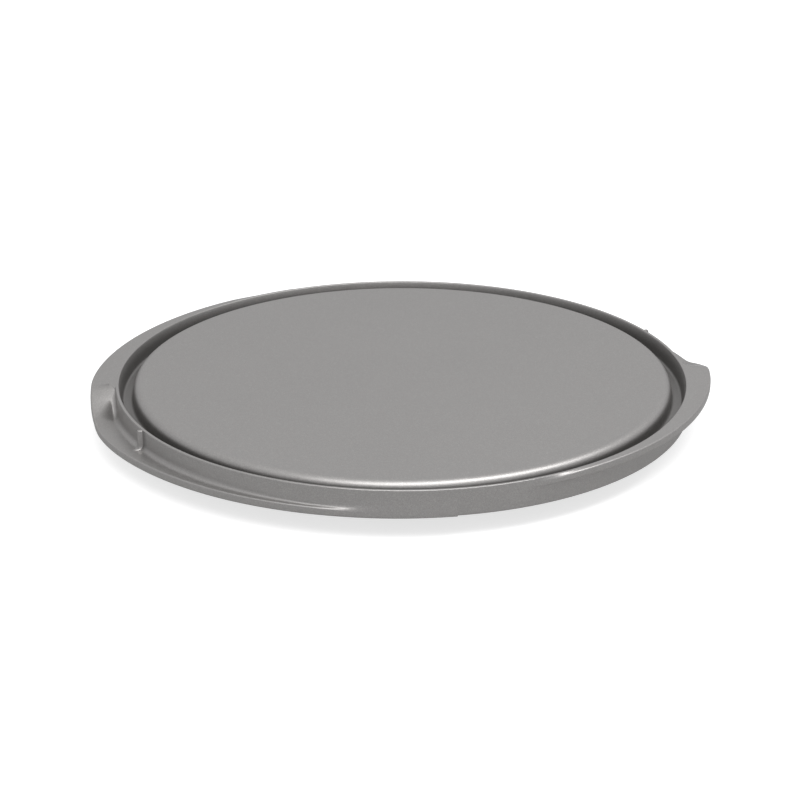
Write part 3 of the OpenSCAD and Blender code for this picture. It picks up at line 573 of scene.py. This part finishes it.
def grip_levels(angle, r):
    """Bottom and top of the grip at a point, above the skirt edge. The ramp between its high
    and low halves fans out from the wall to the tip."""
    side = 1 if math.cos(angle) > 0 else -1
    x, y = r * math.cos(angle) * side, r * math.sin(angle) * side
    out = (x - plate_r + grip_root) / (grip_tip_r + 0.001 - plate_r + grip_root)
    out = min(max(out, 0), 1)
    start = ramp_start + (ramp_tip_start - ramp_start) * out
    end = ramp_end + (ramp_tip_end - ramp_end) * out
    u = min(max((y + start) / (start + end), 0), 1)
    far = min(abs(y), grip_swell) / grip_swell
    thick = grip_tip_t + (grip_t - grip_tip_t) * (1 - (1 - far) ** 2)
    top = plate_h - (plate_h - thick) * descent(u)
    return top - thick, top


def spread(points, r_from, r_to, share):
    """Slides a chain of points along the flat towards even spacing, where its step runs out."""
    last = len(points) - 1
    return [(r + (r_from + (r_to - r_from) * i / last - r) * share, z)
            for i, (r, z) in enumerate(points)]


def plate_section(angle, rib):
    """The casting's section at an angle, from the middle of its top round to its underside."""
    top = plate_h
    floor = plate_h - groove_depth
    # cooking face, its rounded edge, the groove and the rim
    chain = [(0.020, top), (0.100, top), (0.1722, top)]
    chain += arc(0.1730, top - face_round, face_round, 90, 0, 10)
    chain += [(0.1785, floor + 0.0030)]
    chain += arc(0.1805, floor + groove_round, groove_round, 180, 270, 5)
    chain += [(0.1820, floor)]
    chain += arc(0.18432, floor + groove_round, groove_round, 270, 350, 5)
    chain += [(0.18770, top - 0.0020)]
    chain += arc(0.18847, top - 0.0005, 0.0005, 170, 90, 3)

    # upper part of the wall, between the rim and the grip's top
    reach = grip_radius(angle) - plate_r if abs(math.cos(angle)) * plate_r > grip_end_x else 0
    reach = max(reach, 0.00004)
    edge_r = plate_r + reach
    low_in, high_in = grip_levels(angle, plate_r)
    low_out, high_out = grip_levels(angle, edge_r)
    step = top - high_in
    flat = max(1 - step / fade_drop, 0)
    bend = min(0.0034, step / 2, reach * 0.45)
    rim_round = min(rim_edge, step / 2)
    wall = arc(plate_r - rim_round, top - rim_round, rim_round, 90, 0, 4)
    plain = [(plate_r, top - rim_round - (step - bend - rim_round) * k)
             for k in (0.05, 0.08, 0.12, 0.16, 0.3)]
    rib_top = top - rib_drop
    ribbed = [(plate_r + 0.0001, rib_top)]
    ribbed += arc(plate_r + rib_out - rib_round, rib_top - rib_round, rib_round, 90, 0, 3)
    wall += [(p[0] + (q[0] - p[0]) * rib, p[1] + (q[1] - p[1]) * rib)
             for p, q in zip(plain, ribbed)]
    # where the grip is narrow it melts into the wall, so its roundings stand taller
    thin = eased(min(max((grip_narrow - reach) / 0.0020, 0), 1))
    tall = bend + (min(0.0070, step * 0.55) - bend) * thin
    foot = [(r, high_in + (z - high_in) * tall / max(bend, 0.000001))
            for r, z in arc(plate_r + bend, high_in + bend, bend, 180, 270, 4)]
    wall += [(r + rib_out * rib, z) for r, z in foot]
    inner = 0.1893
    outer = plate_r + min(0.0042, reach * 0.5)
    rim_at = len(chain)
    chain += [(inner, top)]
    chain += spread(wall, inner + 0.0001, outer - 0.00001, flat)

    # the grip: top, rounded edge, underside
    thick = high_out - low_out
    edge = min(grip_edge, thick * 0.42, reach * 0.45)
    chain += [(outer + rib_out * rib, grip_levels(angle, outer)[1])]
    chain += [(edge_r - edge - min(0.0003, reach * 0.04),
               grip_levels(angle, edge_r - edge)[1])]
    shoulder = edge + (thick * 0.5 - edge) * thin
    chain += [(r, high_out - (high_out - z) * shoulder / edge)
              for r, z in arc(edge_r - edge, high_out - edge, edge, 90, 0, 4)]
    wall_z, edge_z = high_in + tall, high_out - shoulder
    for i, (r, z) in enumerate(chain):
        if i > rim_at and r >= plate_r and edge_z <= z <= wall_z:
            slant = wall_z + (edge_z - wall_z) * (r - plate_r) / reach
            chain[i] = (r, z + (slant - z) * thin * 0.9)
    chain += arc(edge_r - edge, low_out + edge, edge, 0, -90, 4)
    chain += [(edge_r - edge - min(0.0003, reach * 0.04),
               grip_levels(angle, edge_r - edge)[0])]
    chain += [(outer, grip_levels(angle, outer)[0])]

    # lower part of the wall and the skirt's rounded edge
    flat = max(1 - low_in / fade_drop, 0)
    bend = min(0.0020, low_in / 2, reach * 0.4)
    skirt_round = min(skirt_edge, low_in / 2)
    wall = arc(plate_r + bend, low_in - bend, bend, 90, 180, 4)
    wall += arc(plate_r - skirt_round, skirt_round, skirt_round, 0, -90, 4)
    chain += spread(wall, outer - 0.00001, 0.1886, flat)

    # where no grip stands out, the wall runs plain from the rim to the skirt's edge
    proud = eased(min(reach / 0.0004, 1))
    over = arc(plate_r - rim_edge, top - rim_edge, rim_edge, 90, 0, 4)
    under = arc(plate_r - skirt_edge, skirt_edge, skirt_edge, 0, -90, 4)
    steps = len(chain) - rim_at - len(over) - len(under)
    bare = [(inner, top)] + over
    plain_h = top - rim_edge - skirt_edge
    bare += [(plate_r, top - rim_edge - plain_h * i / steps) for i in range(1, steps)]
    bare += under
    chain[rim_at:] = [(p[0] + (q[0] - p[0]) * proud, p[1] + (q[1] - p[1]) * proud)
                      for p, q in zip(bare, chain[rim_at:])]

    # underside, from the skirt's edge in to the middle
    chain += [(0.1884, 0), (0.1862, 0), (0.1858, 0.0004), (0.1858, 0.0023),
              (0.1856, 0.0025), (0.1746, 0.0025), (0.1743, 0.0028), (0.1743, 0.0100)]
    chain += arc(0.1723, plate_h - face_t - 0.0020, 0.0020, 0, 90, 4)
    chain += [(r, plate_h - face_t) for r in (0.1700, 0.100, 0.020)]
    return chain


def plate_columns():
    """Angles of the section's copies, closer together at the tips, ribs and grip ends, each
    with how far the rib is drawn out there."""
    plain = set()
    for i in range(720):
        plain.add(round(i * 0.5, 4))
    for side in (0, 180):
        for i in range(-10, 11):
            plain.add(round((side + i * 0.5 + 0.25) % 360, 4))
        for back in (1, -1):
            end = math.degrees(math.acos(grip_end_x / plate_r)) * back
            for nudge in (-0.06, -0.02, 0.02, 0.06):
                plain.add(round((side + end + nudge) % 360, 4))
    columns = {a: 0.0 for a in plain}
    outline = [(rib_half + 0.0010, 0), (rib_half + 0.0004, 0), (rib_half + 0.00002, 0),
               (rib_half - rib_round * 0.15, 0.95), (rib_half - rib_round * 0.6, 1), (0, 1)]
    for middle in rib_angles:
        wide = math.degrees((rib_half + 0.0012) / plate_r)
        columns = {a: w for a, w in columns.items() if abs(a - middle) > wide}
        for sign in (-1, 1):
            for off, drawn in outline:
                columns[round(middle + math.degrees(sign * off / plate_r), 6)] = drawn
    return sorted(columns.items())


def build_plate():
    """Joins the sections round the circle into one closed skin."""
    columns = plate_columns()
    sections = [plate_section(math.radians(a), rib) for a, rib in columns]
    count, depth = len(columns), len(sections[0])
    mesh = bpy.data.meshes.new("plate_casting")
    work = bmesh.new()
    grid = []
    for (a, rib), section in zip(columns, sections):
        c, s = math.cos(math.radians(a)), math.sin(math.radians(a))
        grid.append([work.verts.new((r * c, r * s, skirt_z + z)) for r, z in section])
    for i in range(count):
        here, there = grid[i], grid[(i + 1) % count]
        for k in range(depth - 1):
            work.faces.new((here[k], here[k + 1], there[k + 1], there[k]))
    work.faces.new([column[0] for column in grid])
    work.faces.new([column[-1] for column in reversed(grid)])
    work.to_mesh(mesh)
    work.free()
    piece = bpy.data.objects.new("plate_casting", mesh)
    bpy.context.scene.collection.objects.link(piece)
    return piece


plate = build_plate()
only(plate)
bpy.ops.object.shade_smooth()
coat = finish("nonstick_coat", (0.270, 0.262, 0.257), (0.385, 0.376, 0.369), grain=0.00045,
              cloud=0.07, rough=(0.38, 0.44), bump=0.12, depth=0.00003, metal=0.85,
              flecks=0.30, clouds=0.06)

# painted shade: the coat's colour is made darker down in the groove, standing in for the shade
# that falls in it
coat_tree = coat.node_tree
spot = coat_tree.nodes.new("ShaderNodeSeparateXYZ")
coat_tree.links.new(coat_tree.nodes["Texture Coordinate"].outputs["Object"], spot.inputs[0])
across = maths(coat_tree, "ADD", maths(coat_tree, "POWER", spot.outputs["X"], 2),
               maths(coat_tree, "POWER", spot.outputs["Y"], 2))
across = maths(coat_tree, "SQRT", across)
deep = coat_tree.nodes.new("ShaderNodeMapRange")
deep.interpolation_type = "SMOOTHSTEP"
coat_tree.links.new(spot.outputs["Z"], deep.inputs["Value"])
deep.inputs["From Min"].default_value = plate_high.z - 0.0010
deep.inputs["From Max"].default_value = plate_high.z - 0.0075
inside = maths(coat_tree, "MULTIPLY", maths(coat_tree, "GREATER_THAN", across, 0.172),
               maths(coat_tree, "LESS_THAN", across, 0.1892))
# mask of the painted shade: deep in the groove, between the cooking face and the rim
painted_groove_shade = maths(coat_tree, "MULTIPLY", deep.outputs[0], inside)
painted_groove_shade = maths(coat_tree, "MULTIPLY", painted_groove_shade, 0.55)
groove_shade_mix = coat_tree.nodes.new("ShaderNodeMix")
groove_shade_mix.data_type = "RGBA"
coat_tree.links.new(painted_groove_shade, groove_shade_mix.inputs["Factor"])
coat_tree.links.new(coat_tree.nodes["Color Ramp"].outputs["Color"], groove_shade_mix.inputs["A"])
# colour of the painted shade in the groove
groove_shade_mix.inputs["B"].default_value = (0.085, 0.081, 0.078, 1)
coat_tree.links.new(groove_shade_mix.outputs["Result"],
                    coat_tree.nodes["Principled BSDF"].inputs["Base Color"])
finished(plate, ["griddle_plate"], "plate", coat)


# ---- Camera, floor and light --------------------------------------------------------------------
# The camera looks down on the front of the griddle, which is turned a little to the right.

rim_z = plate_high.z
turn = math.radians(-12)
eye = Vector((-0.00158, -1.5836, 0))
target = Vector((-0.00158, -0.04487, 0))


def turned(p, z):
    """A point turned with the griddle about its upright axis, at a height."""
    c, s = math.cos(turn), math.sin(turn)
    return Vector((p.x * c - p.y * s, p.x * s + p.y * c, z))


camera = bpy.data.objects.new("camera", bpy.data.cameras.new("camera"))
bpy.context.scene.collection.objects.link(camera)
camera.data.lens = 114.87
camera.data.sensor_width = 36
camera.location = turned(eye, rim_z + 0.6183)
sight = turned(target, rim_z) - camera.location
camera.rotation_euler = sight.to_track_quat("-Z", "Y").to_euler()
bpy.context.scene.camera = camera

bpy.context.scene.view_settings.view_transform = "Standard"

bpy.ops.object.select_all(action="DESELECT")
bpy.ops.mesh.primitive_plane_add(size=60, location=(0, 0, -0.0002))
floor = bpy.context.object
floor.name = "floor"
paper = bpy.data.materials.new("floor_paper")
paper.use_nodes = True
paper_shade = paper.node_tree.nodes["Principled BSDF"]
paper_shade.inputs["Base Color"].default_value = (0.45, 0.45, 0.45, 1)
paper_shade.inputs["Roughness"].default_value = 0.9
paper_shade.inputs["Specular IOR Level"].default_value = 0.1
seen = paper.node_tree.nodes.new("ShaderNodeLightPath")
glow = maths(paper.node_tree, "MULTIPLY", seen.outputs["Is Camera Ray"], 0.72)
paper_shade.inputs["Emission Color"].default_value = (1, 1, 1, 1)
paper.node_tree.links.new(glow, paper_shade.inputs["Emission Strength"])
floor.data.materials.append(paper)

# the room is brighter overhead than round its sides
world = bpy.data.worlds.new("studio")
bpy.context.scene.world = world
world.use_nodes = True
room = world.node_tree
aim = room.nodes.new("ShaderNodeTexCoord").outputs["Generated"]
heading = room.nodes.new("ShaderNodeSeparateXYZ")
room.links.new(aim, heading.inputs[0])
shades = room.nodes.new("ShaderNodeValToRGB")
shades.color_ramp.elements[0].color = (0.56, 0.56, 0.57, 1)
shades.color_ramp.elements[1].color = (0.88, 0.88, 0.88, 1)
room.links.new(heading.outputs["Z"], shades.inputs[0])
room.links.new(shades.outputs[0], room.nodes["Background"].inputs["Color"])


def soft_light(name, place, size, power, aim):
    """A rectangular soft box at a place, turned towards its aim."""
    data = bpy.data.lights.new(name, "AREA")
    data.shape = "RECTANGLE"
    data.size, data.size_y = size
    data.energy = power
    lamp = bpy.data.objects.new(name, data)
    bpy.context.scene.collection.objects.link(lamp)
    lamp.location = place
    lamp.rotation_euler = (Vector(aim) - lamp.location).to_track_quat("-Z", "Y").to_euler()


soft_light("overhead_box", (0.25, -0.55, 1.4), (2.2, 0.7), 25, (0, 0, 0))
